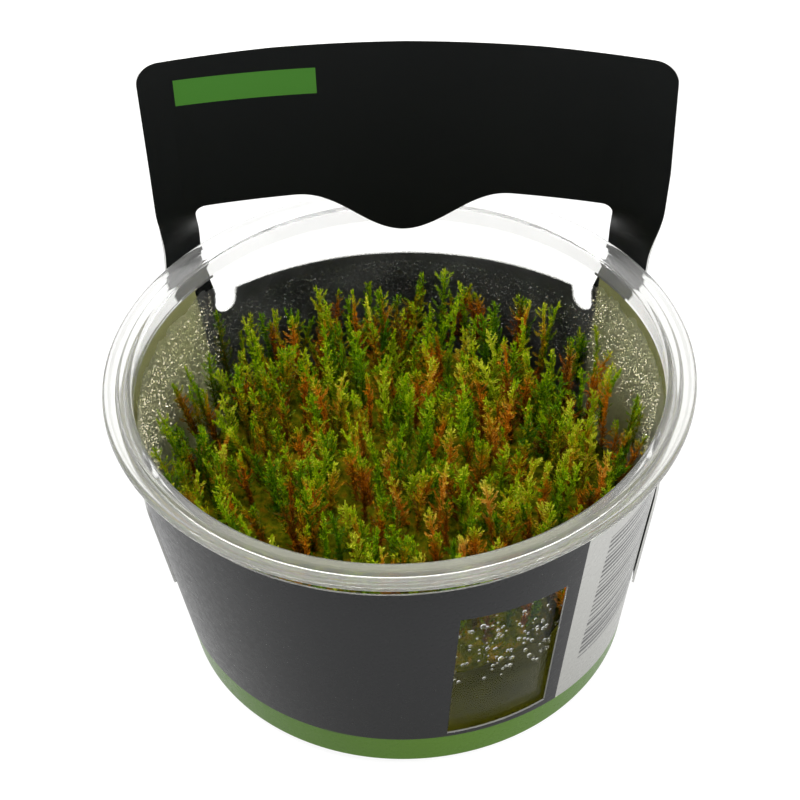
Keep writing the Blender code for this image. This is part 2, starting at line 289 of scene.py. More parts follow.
def tub_profile():
    inner_corner = FOOT_CORNER - WALL / 2
    corner_height = WALL + inner_corner
    corner_radius = wall_radius(corner_height) - WALL
    throat = WALL_TOP_RADIUS - WALL
    step_middle = (WALL_TOP_HEIGHT + STEP_TOP_HEIGHT) / 2
    inside = [(0.0, WALL)]
    inside += arc((corner_radius - inner_corner, corner_height), inner_corner, -90, 0, 6)
    inside += [(wall_radius(h) - WALL, h) for h in (12.0, 19.0, 26.0, 33.0, 40.0, 46.0)]
    inside.append((throat, WALL_TOP_HEIGHT))
    inside.append((throat + STEP_DEPTH / 2, step_middle))
    inside.append((throat + STEP_DEPTH, STEP_TOP_HEIGHT))
    mouth = throat + STEP_DEPTH + LIP_ROUND
    lip = arc((mouth, LIP_TOP_HEIGHT - LIP_ROUND), LIP_ROUND, 180, 90, 5)
    lip += arc((LIP_RADIUS - 0.2, LIP_TOP_HEIGHT - 0.35), 0.35, 90, 20, 4)
    fillet = 0.25
    flange = arc((FLANGE_START_RADIUS, FLANGE_TOP_HEIGHT + fillet), fillet, 200, 270, 3)
    flange.append((FLANGE_END_RADIUS, FLANGE_TOP_HEIGHT))
    flange += arc((RIM_RADIUS - BEAD_RADIUS, RIM_HEIGHT), BEAD_RADIUS, 105, -90, 14)
    flange.append((FLANGE_END_RADIUS, FLANGE_UNDER_HEIGHT))
    neck_top = FLANGE_UNDER_HEIGHT - LIP_ROUND
    flange += arc((NECK_RADIUS + LIP_ROUND, neck_top), LIP_ROUND, 90, 180, 5)
    outside = [(NECK_RADIUS, STEP_TOP_HEIGHT)]
    outside.append(((NECK_RADIUS + WALL_TOP_RADIUS) / 2, step_middle))
    outside.append((WALL_TOP_RADIUS, WALL_TOP_HEIGHT))
    outside += [(wall_radius(h), h) for h in (46.0, 40.0, 33.0, 26.0, 19.0, 12.0)]
    foot = (wall_radius(FOOT_CORNER) - FOOT_CORNER, FOOT_CORNER)
    outside += arc(foot, FOOT_CORNER, 0, -90, 8)
    outside.append((0.0, 0.0))
    return inside + lip + flange + outside


def clear_wall():
    """Clear sheet plastic, with breath-like fog on the inside of the wall below the stacking step."""
    shader = Shader("clear_wall")
    place = shader.node("TexCoord").outputs["Object"]
    axes = shader.node("SeparateXYZ", {"Vector": place})
    flat = shader.node("CombineXYZ", {"X": axes.outputs["X"], "Y": axes.outputs["Y"], "Z": 0.0})
    radius = shader.node("VectorMath", {0: flat.outputs[0]}, operation="LENGTH").outputs["Value"]
    height = axes.outputs["Z"]
    slope = (WALL_TOP_RADIUS - WALL_FOOT_RADIUS) / (WALL_TOP_HEIGHT - WALL_FOOT_HEIGHT)
    foot = (WALL_FOOT_RADIUS - slope * WALL_FOOT_HEIGHT - WALL / 2) * MM
    middle = shader.maths("MULTIPLY_ADD", height, slope, foot)
    inside = shader.maths("LESS_THAN", radius, middle)
    edge = shader.range(shader.noise(180.0), 0.3, 0.7, 0.0495, 0.0515)
    foggy = shader.maths("MULTIPLY", inside, shader.maths("LESS_THAN", height, edge))
    above_gel = shader.maths("GREATER_THAN", height, 0.0195)
    behind = shader.range(axes.outputs["Y"], -0.022, -0.012, 0.0, 1.0)
    foggy = shader.maths("MULTIPLY", foggy, shader.maths("MULTIPLY", above_gel, behind))
    patches = shader.noise(90.0, 3.0)
    beads = shader.node("TexVoronoi", {"Scale": 1500.0, "Vector": place, "Randomness": 1.0})
    bead = shader.range(beads.outputs["Distance"], 0.0, 0.6, 1.0, 0.0)
    haze = shader.range(shader.noise(60.0, 4.0), 0.3, 0.7, 0.0, 0.025)
    rough = shader.maths("MULTIPLY_ADD", foggy, shader.range(patches, 0.3, 0.7, 0.28, 0.42), haze)
    milk = shader.maths("MULTIPLY", foggy, shader.range(patches, 0.3, 0.7, 0.01, 0.05))
    shader.set(Base_Color=(0.985, 0.99, 0.975, 1.0), IOR=1.08, Roughness=rough)
    shader.set(Transmission_Weight=shader.maths("SUBTRACT", 1.0, milk))
    shader.bump(shader.maths("MULTIPLY", bead, foggy), 0.6, 0.00008)
    return shader.material


def clear_rim():
    """The thicker rim: the same plastic, a little hazy and scuffed. Its base colour is painted darker at the front
    and lighter at the back: painted shade and painted light.
    """
    shader = Shader("clear_rim")
    scuffs = shader.noise(60.0, 4.0)
    place = shader.node("TexCoord").outputs["Object"]
    # Painted shade and light: the rim's base colour runs from darker at the front to lighter at the back.
    depth = shader.range(shader.node("SeparateXYZ", {"Vector": place}).outputs["Y"], -0.05, 0.05, 0.0, 1.0)
    tint = shader.ramp(depth, [
        (0.1, (0.74, 0.74, 0.7, 1.0)), (0.55, (0.8, 0.8, 0.78, 1.0)), (0.85, (0.95, 0.95, 0.94, 1.0)),
    ])
    shader.set(Base_Color=tint, IOR=1.42, Specular_Tint=(0.3, 0.3, 0.3, 1.0))
    shader.set(Roughness=shader.range(scuffs, 0.3, 0.7, 0.04, 0.1))
    shader.set(Transmission_Weight=shader.range(scuffs, 0.3, 0.7, 0.89, 0.85))
    shader.bump(shader.noise(90.0, 3.0), 0.3, 0.00002)
    return shader.material


def make_tub():
    mesh = lathe("tub_clear", tub_profile(), TUB_STEPS)
    for face in mesh.polygons:
        face.material_index = int(face.center.z > STEP_TOP_HEIGHT * MM)
    return add_piece("tub_clear", mesh, "tub", [clear_wall(), clear_rim()])


# The gel

def gel_material():
    shader = Shader("growth_gel")
    cloud = shader.noise(70.0, 4.0)
    tint = shader.ramp(cloud, [(0.35, srgb(36, 38, 4)), (0.65, srgb(72, 70, 12))])
    shader.set(Base_Color=tint, Transmission_Weight=0.9, IOR=1.07, Roughness=0.1)
    shader.set(Specular_Tint=(0.15, 0.15, 0.15, 1.0))
    shader.bump(shader.noise(160.0, 1.0), 0.2, 0.0004)
    return shader.material


def make_gel():
    clear = WALL + 0.04
    top = wall_radius(GEL_HEIGHT) - clear
    corner = FOOT_CORNER - WALL
    low = clear + corner
    foot = wall_radius(low) - clear
    profile = [(0.0, GEL_HEIGHT)]
    profile += [(r, GEL_HEIGHT) for r in (8.0, 16.0, 24.0, 31.0, top - 4 * GEL_CREEP)]
    profile += [(top - 2 * GEL_CREEP, GEL_HEIGHT + 0.06), (top - GEL_CREEP, GEL_HEIGHT + 0.2)]
    profile.append((top, GEL_HEIGHT + GEL_CREEP))
    profile += [(wall_radius(h) - clear, h) for h in (14.0, 8.0)]
    profile += arc((foot - corner, low), corner, 0, -90, 5)
    profile.append((0.0, clear))
    mesh = lathe("gel_clear", profile, 96)
    for vertex in mesh.vertices:
        if vertex.co.z > (GEL_HEIGHT - 0.5) * MM and vertex.co.to_2d().length < (top - 1.0) * MM:
            vertex.co.z += noise.noise(vertex.co / (6.0 * MM)) * 0.5 * MM
    return add_piece("gel_clear", mesh, "growth_gel", [gel_material()])


# Paper and card

def evaluated_mesh(obj):
    depsgraph = bpy.context.evaluated_depsgraph_get()
    mesh = bpy.data.meshes.new_from_object(obj.evaluated_get(depsgraph))
    bpy.data.objects.remove(obj, do_unlink=True)
    return mesh


def flat_outline(name, loops):
    """A flat sheet in the XY plane, bounded by the first loop, with the other loops as holes."""
    curve = bpy.data.curves.new(name, "CURVE")
    curve.dimensions = "2D"
    curve.fill_mode = "BOTH"
    for loop in loops:
        spline = curve.splines.new("POLY")
        spline.points.add(len(loop) - 1)
        for point, (x, y) in zip(spline.points, loop):
            point.co = (x * MM, y * MM, 0.0, 1.0)
        spline.use_cyclic_u = True
    obj = bpy.data.objects.new(name, curve)
    bpy.context.scene.collection.objects.link(obj)
    return evaluated_mesh(obj)


def cut_to_cells(mesh, columns, rows):
    sheet = bmesh.new()
    sheet.from_mesh(mesh)
    bmesh.ops.remove_doubles(sheet, verts=sheet.verts, dist=0.00001)
    for axis, places in ((0, columns), (1, rows)):
        normal = Vector((1.0, 0.0, 0.0)) if axis == 0 else Vector((0.0, 1.0, 0.0))
        for place in places:
            geometry = sheet.verts[:] + sheet.edges[:] + sheet.faces[:]
            bmesh.ops.bisect_plane(
                sheet, geom=geometry, dist=0.000002, plane_co=normal * place * MM, plane_no=normal
            )
    cuts = [np.array(columns) * MM, np.array(rows) * MM]

    def on_a_line(edge):
        for axis in (0, 1):
            first, second = edge.verts[0].co[axis], edge.verts[1].co[axis]
            if len(cuts[axis]) and abs(first - second) < 0.000004:
                if np.min(np.abs(cuts[axis] - first)) < 0.000004:
                    return True
        return False

    spare = [edge for edge in sheet.edges if len(edge.link_faces) == 2 and not on_a_line(edge)]
    bmesh.ops.dissolve_edges(sheet, edges=spare, use_verts=False)
    sheet.to_mesh(mesh)
    sheet.free()


def bent_sheet(name, mesh, place, thickness, face_up, node, materials):
    """Bends the flat sheet, keeps its flat coordinates as a UV map, and gives it its thickness."""
    if (mesh.polygons[0].normal.z > 0.0) != face_up:
        mesh.flip_normals()
    layer = mesh.uv_layers.new(name="flat")
    for loop in mesh.loops:
        spot = mesh.vertices[loop.vertex_index].co
        layer.data[loop.index].uv = (spot.x / MM / 400.0 + 0.5, spot.y / MM / 400.0)
    for vertex in mesh.vertices:
        vertex.co = Vector(place(vertex.co.x / MM, vertex.co.y / MM)) * MM
    obj = bpy.data.objects.new(name, mesh)
    bpy.context.scene.collection.objects.link(obj)
    for material in materials:
        mesh.materials.append(material)
    solidify = obj.modifiers.new("thickness", "SOLIDIFY")
    solidify.thickness = thickness * MM
    solidify.offset = 0.0
    solidify.use_even_offset = True
    solidify.material_offset = 1
    solidify.material_offset_rim = 2
    solid = evaluated_mesh(obj)
    return add_piece(name, solid, node, [])


def flat_place(shader):
    """The sheet's flat coordinates in millimetres: across (or azimuth in degrees) and height."""
    axes = shader.node("SeparateXYZ", {"Vector": shader.node("UVMap", uv_map="flat").outputs["UV"]})
    across = shader.maths("MULTIPLY_ADD", axes.outputs["X"], 400.0, -200.0)
    return across, shader.maths("MULTIPLY", axes.outputs["Y"], 400.0)


def paper_white(name, shade, warmth=2):
    shader = Shader(name)
    fibres = shader.noise(1400.0, 5.0)
    tint = shader.mix(fibres, srgb(shade - 10, shade - 10, shade - 12 - warmth), srgb(shade, shade, shade - warmth))
    shader.set(Base_Color=tint, Roughness=0.75)
    shader.bump(fibres, 0.3, 0.00004)
    return shader.material


def label_radius(height):
    rise = (height - LABEL_BOTTOM) / (LABEL_TOP - LABEL_BOTTOM)
    return wall_radius(height) + GAP + LABEL_THICKNESS / 2 + LABEL_LOOSENESS * rise


def on_circle(radius, azimuth, height, lean):
    turn = math.radians(azimuth)
    return (lean + radius * math.sin(turn), radius * math.cos(turn), height)


def label_loops():
    edge = [(LABEL_START, LABEL_BOTTOM), (LABEL_END, LABEL_BOTTOM)]
    edge += [(LABEL_END, LABEL_TOP), (LABEL_START, LABEL_TOP)]
    return [edge, [WINDOW_BOTTOM_RIGHT, WINDOW_BOTTOM_LEFT, WINDOW_TOP_LEFT, WINDOW_TOP_RIGHT]]


def label_print():
    """Dark grey print with a green band along the bottom and a pale panel with bars at one side. The dark print and
    the pale panel are painted lighter towards the top and darker towards the bottom: painted light and painted
    shade.
    """
    shader = Shader("label_print")
    azimuth, height = flat_place(shader)
    shift = shader.maths("MULTIPLY_ADD", height, -1.6 / 50.0, 142.6)
    panel = shader.maths("LESS_THAN", azimuth, shift)
    past_front = shader.maths("MAXIMUM", shader.maths("MULTIPLY_ADD", azimuth, -1.0 / 68.0, 180.0 / 68.0), 0.0)
    band_top = shader.maths("MULTIPLY_ADD", shader.maths("POWER", past_front, 2.0), -3.6, 8.0)
    band = shader.maths("LESS_THAN", height, band_top)
    fibre = shader.noise(900.0, 4.0)
    cloud = shader.noise(35.0, 3.0)
    # Painted light and shade: rise makes the dark print and the pale panel lighter towards the top and darker
    # towards the bottom.
    rise = shader.range(height, 4.0, 48.0, 0.0, 1.0)
    dark = shader.mix(shader.maths("MULTIPLY_ADD", cloud, 0.3, rise), srgb(13, 14, 15), srgb(30, 31, 32))
    pale = shader.mix(shader.maths("MULTIPLY_ADD", fibre, 0.2, rise), srgb(148, 148, 143), srgb(172, 172, 168))
    pitch = shader.maths("MULTIPLY", height, 0.8)
    lot = shader.node("TexWhiteNoise", noise_dimensions="1D")
    shader.put(lot, "W", shader.maths("FLOOR", pitch))
    share = shader.range(lot.outputs["Value"], 0.0, 1.0, 0.25, 0.75)
    bar = shader.maths("LESS_THAN", shader.maths("FRACT", pitch), share)
    bars = shader.maths("MULTIPLY", bar, shader.between(height, 14.5, 46.5))
    left_end = shader.maths("MULTIPLY_ADD", height, -0.095, 138.1)
    bars = shader.maths("MULTIPLY", bars, shader.between(azimuth, 112.5, left_end))
    pale = shader.mix(bars, pale, srgb(74, 74, 74))
    green = shader.mix(cloud, srgb(64, 100, 4), srgb(74, 112, 10))
    colour = shader.mix(panel, dark, pale)
    colour = shader.mix(band, colour, green)
    shader.set(Base_Color=colour, Roughness=shader.range(fibre, 0.3, 0.7, 0.24, 0.34))
    shader.set(Specular_IOR_Level=0.1)
    shader.bump(fibre, 0.2, 0.00003)
    return shader.material


def make_label():
    mesh = flat_outline("label_flat", label_loops())
    cell = (LABEL_END - LABEL_START) / LABEL_CELLS
    cut_to_cells(mesh, [LABEL_START + cell * i for i in range(1, LABEL_CELLS)], [])

    def place(azimuth, height):
        return on_circle(label_radius(height), azimuth, height, LABEL_LEAN * height / LABEL_TOP)

    # The inside of the label is white paper given a grey, warm gold tone: painted shade and painted bounce light
    # from the moss. The paper edge is greyed to 160: painted shade on its cut.
    materials = [label_print(), paper_white("label_inside", 158, 50), paper_white("label_edge", 160)]
    bent_sheet(
        "label_paper", mesh, place, LABEL_THICKNESS, False, "front_label", materials
    )


def chord(azimuth):
    return 2 * CHORD_CIRCLE * math.sin(math.radians(azimuth) / 2)


def straight_cut(azimuth, middle):
    slant = wall_radius(1.0) - wall_radius(0.0)
    spread = math.radians(azimuth) * math.sin(math.atan(slant))
    return middle + wall_radius(middle) / slant * (1.0 / math.cos(spread) - 1.0)


def card_outer_half():
    full_rise = straight_cut(BAND_END_AZIMUTH, BAND_BOTTOM) - BAND_BOTTOM
    bottom = []
    for i in range(BAND_STEPS - 1):
        azimuth = BAND_END_AZIMUTH * i / BAND_STEPS
        share = (straight_cut(azimuth, BAND_BOTTOM) - BAND_BOTTOM) / full_rise
        bottom.append((chord(azimuth), BAND_BOTTOM + (BAND_END_BOTTOM - BAND_BOTTOM) * share))
    end = chord(BAND_END_AZIMUTH)
    low = (end - BAND_END_CORNER, BAND_END_BOTTOM + BAND_END_CORNER)
    high = (end - BAND_END_CORNER, BAND_END_TOP - BAND_END_CORNER)
    wing = arc(low, BAND_END_CORNER, -90, 0, 6) + arc(high, BAND_END_CORNER, 0, 75, 6)
    shoulder_height = BAND_HUG_HEIGHT + 0.75 * LEG_CORNER
    shoulder = arc((chord(LEG_OUTER_AZIMUTH) + LEG_CORNER, shoulder_height), LEG_CORNER, 255, 180, 6)
    side = [(CARD_HALF_WIDTH - CARD_FLARE, SHEET_START - CARD_CORNER)]
    side.append((CARD_HALF_WIDTH - CARD_FLARE / 3, SHEET_START + 2 * CARD_CORNER))
    corner = (CARD_HALF_WIDTH - CARD_CORNER, CARD_TOP - CARD_CROWN - CARD_CORNER)
    top = arc(corner, CARD_CORNER, 0, 88, 10)
    top += [(CARD_HALF_WIDTH / 2, CARD_TOP - CARD_CROWN / 4), (0.0, CARD_TOP)]
    return bottom + wing + shoulder + side + top


def card_cutout_half():
    steps = 16
    low = []
    for i in range(steps + 1):
        azimuth = (NOTCH_AZIMUTH - NOTCH_SPREAD) * i / steps
        low.append((chord(azimuth), straight_cut(azimuth, BAND_TOP)))
    notch = (chord(NOTCH_AZIMUTH), NOTCH_BOTTOM + NOTCH_HALF_WIDTH)
    low += arc(notch, NOTCH_HALF_WIDTH, 180, 360, 12)
    leg = [(chord(LEG_INNER_AZIMUTH), BAND_HUG_HEIGHT), (chord(LEG_RIM_AZIMUTH), RIM_HEIGHT)]
    corner = (CUTOUT_HALF_WIDTH - CUTOUT_CORNER, CUTOUT_TOP - CUTOUT_CORNER - CUTOUT_DROP)
    top = arc(corner, CUTOUT_CORNER, 0, 90, 8)
    tongue = []
    for i in range(TONGUE_STEPS + 1):
        t = i / TONGUE_STEPS
        drop = ((1.0 - math.cos(math.pi * t)) / 2) ** TONGUE_POWER
        tongue.append((TONGUE_HALF_WIDTH * (1.0 - t), CUTOUT_TOP - (CUTOUT_TOP - TONGUE_BOTTOM) * drop))
    return low + leg + top + tongue


def mirrored(half):
    left = [(-x, y) for x, y in reversed(half) if x > 0.001]
    return half + left


def shifted(loop, shift):
    return [(x + shift * ease(RIM_HEIGHT, SHEET_START, y), y) for x, y in loop]


def card_place(across, height):
    azimuth = math.degrees(2 * math.asin(across / (2 * CHORD_CIRCLE)))
    against = label_radius(height) + LABEL_THICKNESS / 2 + GAP + CARD_THICKNESS / 2
    clear = RIM_RADIUS + GAP + CARD_THICKNESS / 2
    out = ease(BAND_HUG_HEIGHT, RIM_HEIGHT - RIM_CLEAR_BELOW, height)
    lean = LABEL_LEAN * height / LABEL_TOP * (1.0 - out)
    wrapped = Vector(on_circle(against + (clear - against) * out, azimuth, height, lean))
    upright = Vector((across, SHEET_DISTANCE - across**2 / (2 * SHEET_BEND), height))
    share = ease(RIM_HEIGHT + RIM_CLEAR_ABOVE, SHEET_START, height)
    if height > RIM_HEIGHT:
        beside = ease(TONGUE_HALF_WIDTH, CUTOUT_HALF_WIDTH - CUTOUT_CORNER, abs(across))
        share = 1.0 - (1.0 - share) * beside
    spot = wrapped.lerp(upright, share)
    turn = math.radians(-CARD_AZIMUTH)
    x = spot.x * math.cos(turn) - spot.y * math.sin(turn)
    y = spot.x * math.sin(turn) + spot.y * math.cos(turn)
    return (x, y, height)


def card_print(name, tag):
    """Satin black print. The front also has a plain green tag near its top left corner."""
    shader = Shader(name)
    across, height = flat_place(shader)
    fibre = shader.noise(1100.0, 4.0)
    cloud = shader.noise(28.0, 4.0)
    colour = shader.mix(cloud, srgb(11, 13, 13), srgb(17, 19, 19))
    if tag:
        inside = shader.maths(
            "MULTIPLY", shader.between(across, -37.2, -13.6), shader.between(height, 91.2, 96.3)
        )
        green = shader.mix(cloud, srgb(60, 112, 38), srgb(68, 120, 46))
        colour = shader.mix(inside, colour, green)
    rub = shader.range(shader.noise(6.0, 6.0), 0.35, 0.75, 0.36, 0.5)
    shader.set(Base_Color=colour, Roughness=rub, Specular_IOR_Level=0.1)
    shader.bump(fibre, 0.18, 0.00003)
    return shader.material


def make_card():
    outside = shifted(mirrored(card_outer_half()), CARD_SHIFT)
    cutout = shifted(mirrored(card_cutout_half()), CARD_SHIFT / 4)
    mesh = flat_outline("card_flat", [outside, cutout])
    columns = [chord(2.5 * i + 0.6) for i in range(-42, 43)]
    rows = [BAND_HUG_HEIGHT + 0.35 + i for i in range(24)]
    cut_to_cells(mesh, columns, rows)
    materials = [card_print("card_front", True), card_print("card_back", False), paper_white("card_edge", 214)]
    bent_sheet("card_black", mesh, card_place, CARD_THICKNESS, True, "header_card", materials)


# The moss

def leaf_arrays(roots, directions, sides, lengths, widths):
    """Folded kite-shaped leaves. Each row of the arguments is one leaf."""
    folds = np.cross(directions, sides)
    waist = roots + directions * (lengths * 0.42)[:, None] - folds * (widths * 0.25)[:, None]
    tips = roots + directions * lengths[:, None] + folds * (lengths * 0.12)[:, None]
    left = waist + sides * (widths / 2)[:, None]
    right = waist - sides * (widths / 2)[:, None]
    vertices = np.stack([roots, left, tips, right], axis=1).reshape(-1, 3)
    first = np.arange(len(roots))[:, None] * 4
    faces = np.concatenate([first + [0, 1, 2], first + [0, 2, 3]], axis=1).reshape(-1, 3)
    return vertices, faces


def unit(vectors):
    return vectors / np.maximum(np.linalg.norm(vectors, axis=-1, keepdims=True), 1e-9)


def twig(rng, path, thickness, leaf_length, spacing, ranks, spread, tints):
    """A thin stem along path with leaves in ranks round it. Returns vertices, faces and tints."""
    steps = np.linalg.norm(np.diff(path, axis=0), axis=1)
    along = np.concatenate([[0.0], np.cumsum(steps)])
    total = along[-1]
    tangents = unit(np.gradient(path, axis=0))
    count = max(2, int(total / spacing))
    places = np.repeat((np.arange(count) + 0.5) / count, ranks)
    turn = np.tile(np.arange(ranks) * math.tau / ranks, count)
    turn += np.repeat(np.arange(count) * 2.4, ranks) + rng.normal(0, 0.25, count * ranks)
    places = np.clip(places + rng.normal(0, 0.25 / count, count * ranks), 0.0, 1.0)
    at = places * total
    roots = np.stack([np.interp(at, along, path[:, k]) for k in range(3)], axis=1)
    axis = unit(np.stack([np.interp(at, along, tangents[:, k]) for k in range(3)], axis=1))
    helper = np.where(np.abs(axis[:, 2:3]) < 0.9, [[0.0, 0.0, 1.0]], [[1.0, 0.0, 0.0]])
    across = unit(np.cross(axis, helper))
    other = np.cross(axis, across)
    out = across * np.cos(turn)[:, None] + other * np.sin(turn)[:, None]
    lean = np.radians(rng.normal(spread, 8.0, len(at))) * (1.0 - 0.55 * places**3)
    directions = unit(axis * np.cos(lean)[:, None] + out * np.sin(lean)[:, None])
    sides = unit(np.cross(axis, out))
    size = leaf_length * (1.0 - 0.35 * places) * rng.uniform(0.75, 1.2, len(at))
    vertices, faces = leaf_arrays(roots, directions, sides, size, size * rng.uniform(0.2, 0.3, len(at)))
    colours = np.repeat(tints(roots, rng.normal(0, 1, len(at))), 4, axis=0)
    # Each leaf's tip corner is lighter: a painted highlight on the leaf tips.
    colours[2::4, 1] += 0.12
    ring = np.arange(3) * math.tau / 3
    stem_across = unit(np.cross(tangents, [[0.31, 0.95, 0.05]]))
    stem_other = np.cross(tangents, stem_across)
    width = thickness * np.linspace(1.0, 0.4, len(path))
    stem = path[:, None, :] + width[:, None, None] / 2 * (
        stem_across[:, None, :] * np.cos(ring)[None, :, None]
        + stem_other[:, None, :] * np.sin(ring)[None, :, None]
    )
    stem = stem.reshape(-1, 3)
    stem_faces = []
    for i in range(len(path) - 1):
        for k in range(3):
            a, b = i * 3 + k, i * 3 + (k + 1) % 3
            stem_faces += [(a, b, b + 3), (a, b + 3, a + 3)]
    stem_tints = tints(stem, rng.normal(0, 0.4, len(stem)))
    stem_tints[:, 0] += 0.25
    stem_tints[:, 1] -= 0.15
    faces = np.concatenate([faces, np.array(stem_faces) + len(vertices)])
    return np.concatenate([vertices, stem]), faces, np.concatenate([colours, stem_tints])


def bent_path(start, end, sag, steps):
    t = np.linspace(0.0, 1.0, steps)[:, None]
    return start + (end - start) * t + sag * (4.0 * t * (1.0 - t))


def shoot(rng, base, tip, plume, rust):
    """One upright shoot: a leafy stem with short side twigs in one plane, like a small fir."""
    height = tip[2] - base[2]
    sag = np.array([*rng.normal(0, 0.9, 2), 0.0])
    path = bent_path(base, tip, sag, 9)
    bright = rng.normal(0.5, 0.17)

    def tints(spots, luck):
        depth = tip[2] - spots[:, 2]
        red = rust * np.clip(0.25 + depth / 5.0, 0.0, 1.2) + 0.1 * luck
        light = bright + 0.14 * luck - np.clip(depth / 34.0, 0.0, 0.4)
        tall = np.clip(1.0 - depth / 18.0, 0.0, 1.0)
        return np.stack([red, light, tall, np.ones(len(spots))], axis=1)

    parts = [twig(rng, path[3:], 0.24, 1.15, 0.4, 4, 42.0, tints)]
    heading = rng.uniform(0.0, math.tau)
    plane = np.array([math.cos(heading), math.sin(heading), 0.0])
    low = max(base[2] + 3.0, tip[2] - 13.5)
    at = tip[2] - 0.7
    side = 1.0
    while at > low:
        share = (at - base[2]) / height
        start = np.array([np.interp(share, np.linspace(0, 1, 9), path[:, k]) for k in range(3)])
        depth = tip[2] - at
        length = plume * min(1.0, 0.22 + depth / 5.5) * rng.uniform(0.55, 1.15)
        swing = plane * side + np.array([*rng.normal(0, 0.55, 2), 0.0])
        out = swing / np.linalg.norm(swing)
        tilt = math.radians(rng.normal(36.0, 9.0))
        end = start + out * length * math.sin(tilt) + np.array([0.0, 0.0, length * math.cos(tilt)])
        parts.append(twig(rng, bent_path(start, end, out * 0.2, 3), 0.12, 0.8, 0.3, 3, 44.0, tints))
        at -= rng.uniform(0.55, 0.95)
        side = -side
    return parts


def joined(parts):
    vertices, faces, tints, offset = [], [], [], 0
    for part_vertices, part_faces, part_tints in parts:
        vertices.append(part_vertices)
        faces.append(part_faces + offset)
        tints.append(part_tints)
        offset += len(part_vertices)
    return np.concatenate(vertices), np.concatenate(faces), np.concatenate(tints)


def moss_material():
    shader = Shader("moss_leaves")
    tint = shader.node("Attribute", attribute_name="tint").outputs["Color"]
    parts = shader.node("SeparateColor", {"Color": tint})
    rust, light, tall = parts.outputs[0], parts.outputs[1], parts.outputs[2]
    mottle = shader.noise(420.0, 2.0)
    light = shader.maths("ADD", light, shader.maths("MULTIPLY_ADD", mottle, 0.4, -0.2))
    green = shader.ramp(light, [
        (0.1, srgb(52, 98, 0)), (0.4, srgb(124, 176, 0)), (0.65, srgb(198, 218, 2)), (0.95, srgb(248, 244, 84)),
    ])
    brown = shader.ramp(light, [
        (0.1, srgb(120, 52, 0)), (0.4, srgb(212, 110, 4)), (0.65, srgb(244, 146, 22)), (0.95, srgb(252, 202, 96)),
    ])
    share = shader.range(rust, 0.3, 0.8, 0.0, 0.9)
    colour = shader.mix(share, green, brown)
    low = shader.range(tall, 0.0, 0.6, 0.5, 0.0)
    colour = shader.mix(low, colour, srgb(76, 60, 2))
    shader.set(Base_Color=colour, Roughness=shader.range(mottle, 0.3, 0.7, 0.3, 0.5), Specular_IOR_Level=0.3)
    glow = shader.node("BsdfTranslucent", {"Color": colour})
    blend = shader.node("MixShader", {0: 0.42})
    shader.put(blend, 1, shader.surface.outputs["BSDF"])
    shader.put(blend, 2, glow.outputs["BSDF"])
    shader.put(shader.output, "Surface", blend.outputs[0])
    return shader.material


def spread_points(rng, radius, gap, tries):
    """Points in a disc that keep a distance from each other."""
    points = []
    for _ in range(tries):
        r, turn = radius * math.sqrt(rng.uniform()), rng.uniform(0, math.tau)
        spot = np.array([r * math.cos(turn), r * math.sin(turn)])
        if all((spot[0] - p[0]) ** 2 + (spot[1] - p[1]) ** 2 > gap * gap for p in points):
            points.append(spot)
    return points


def make_bed():
    """The dark tangle of old stems under the shoots: a lumpy closed body that sits on the gel."""
    bottom = GEL_HEIGHT + GEL_CREEP + 0.3
    edge = wall_radius(bottom) - WALL
    profile = [(0.0, 29.0)]
    profile += [(r, 29.0 - 1.5 * (r / edge) ** 4) for r in np.linspace(1.5, edge - 4.5, 24)]
    profile += [(edge - 3.5, 25.5), (edge - 3.0, 23.0), (edge - 3.2, bottom + 0.8), (edge - 4.0, bottom)]
    profile.append((0.0, bottom))
    mesh = lathe("moss_bed", profile, 150)
    for vertex in mesh.vertices:
        if vertex.co.z > (bottom + 0.4) * MM:
            spot = vertex.co / MM
            lump = noise.noise(spot / 4.0) * 1.6 + noise.noise(spot / 1.3) * 1.2
            vertex.co += vertex.co.normalized() * lump * MM
    shader = Shader("moss_bed")
    mottle = shader.noise(700.0, 4.0)
    tint = shader.ramp(mottle, [(0.3, srgb(38, 42, 2)), (0.5, srgb(74, 78, 6)), (0.75, srgb(118, 88, 12))])
    shader.set(Base_Color=tint, Roughness=0.95, Specular_IOR_Level=0.0)
    shader.bump(shader.noise(1500.0, 3.0), 0.8, 0.0004)
    add_piece("moss_bed", mesh, "moss_clump", [shader.material], 60.0)


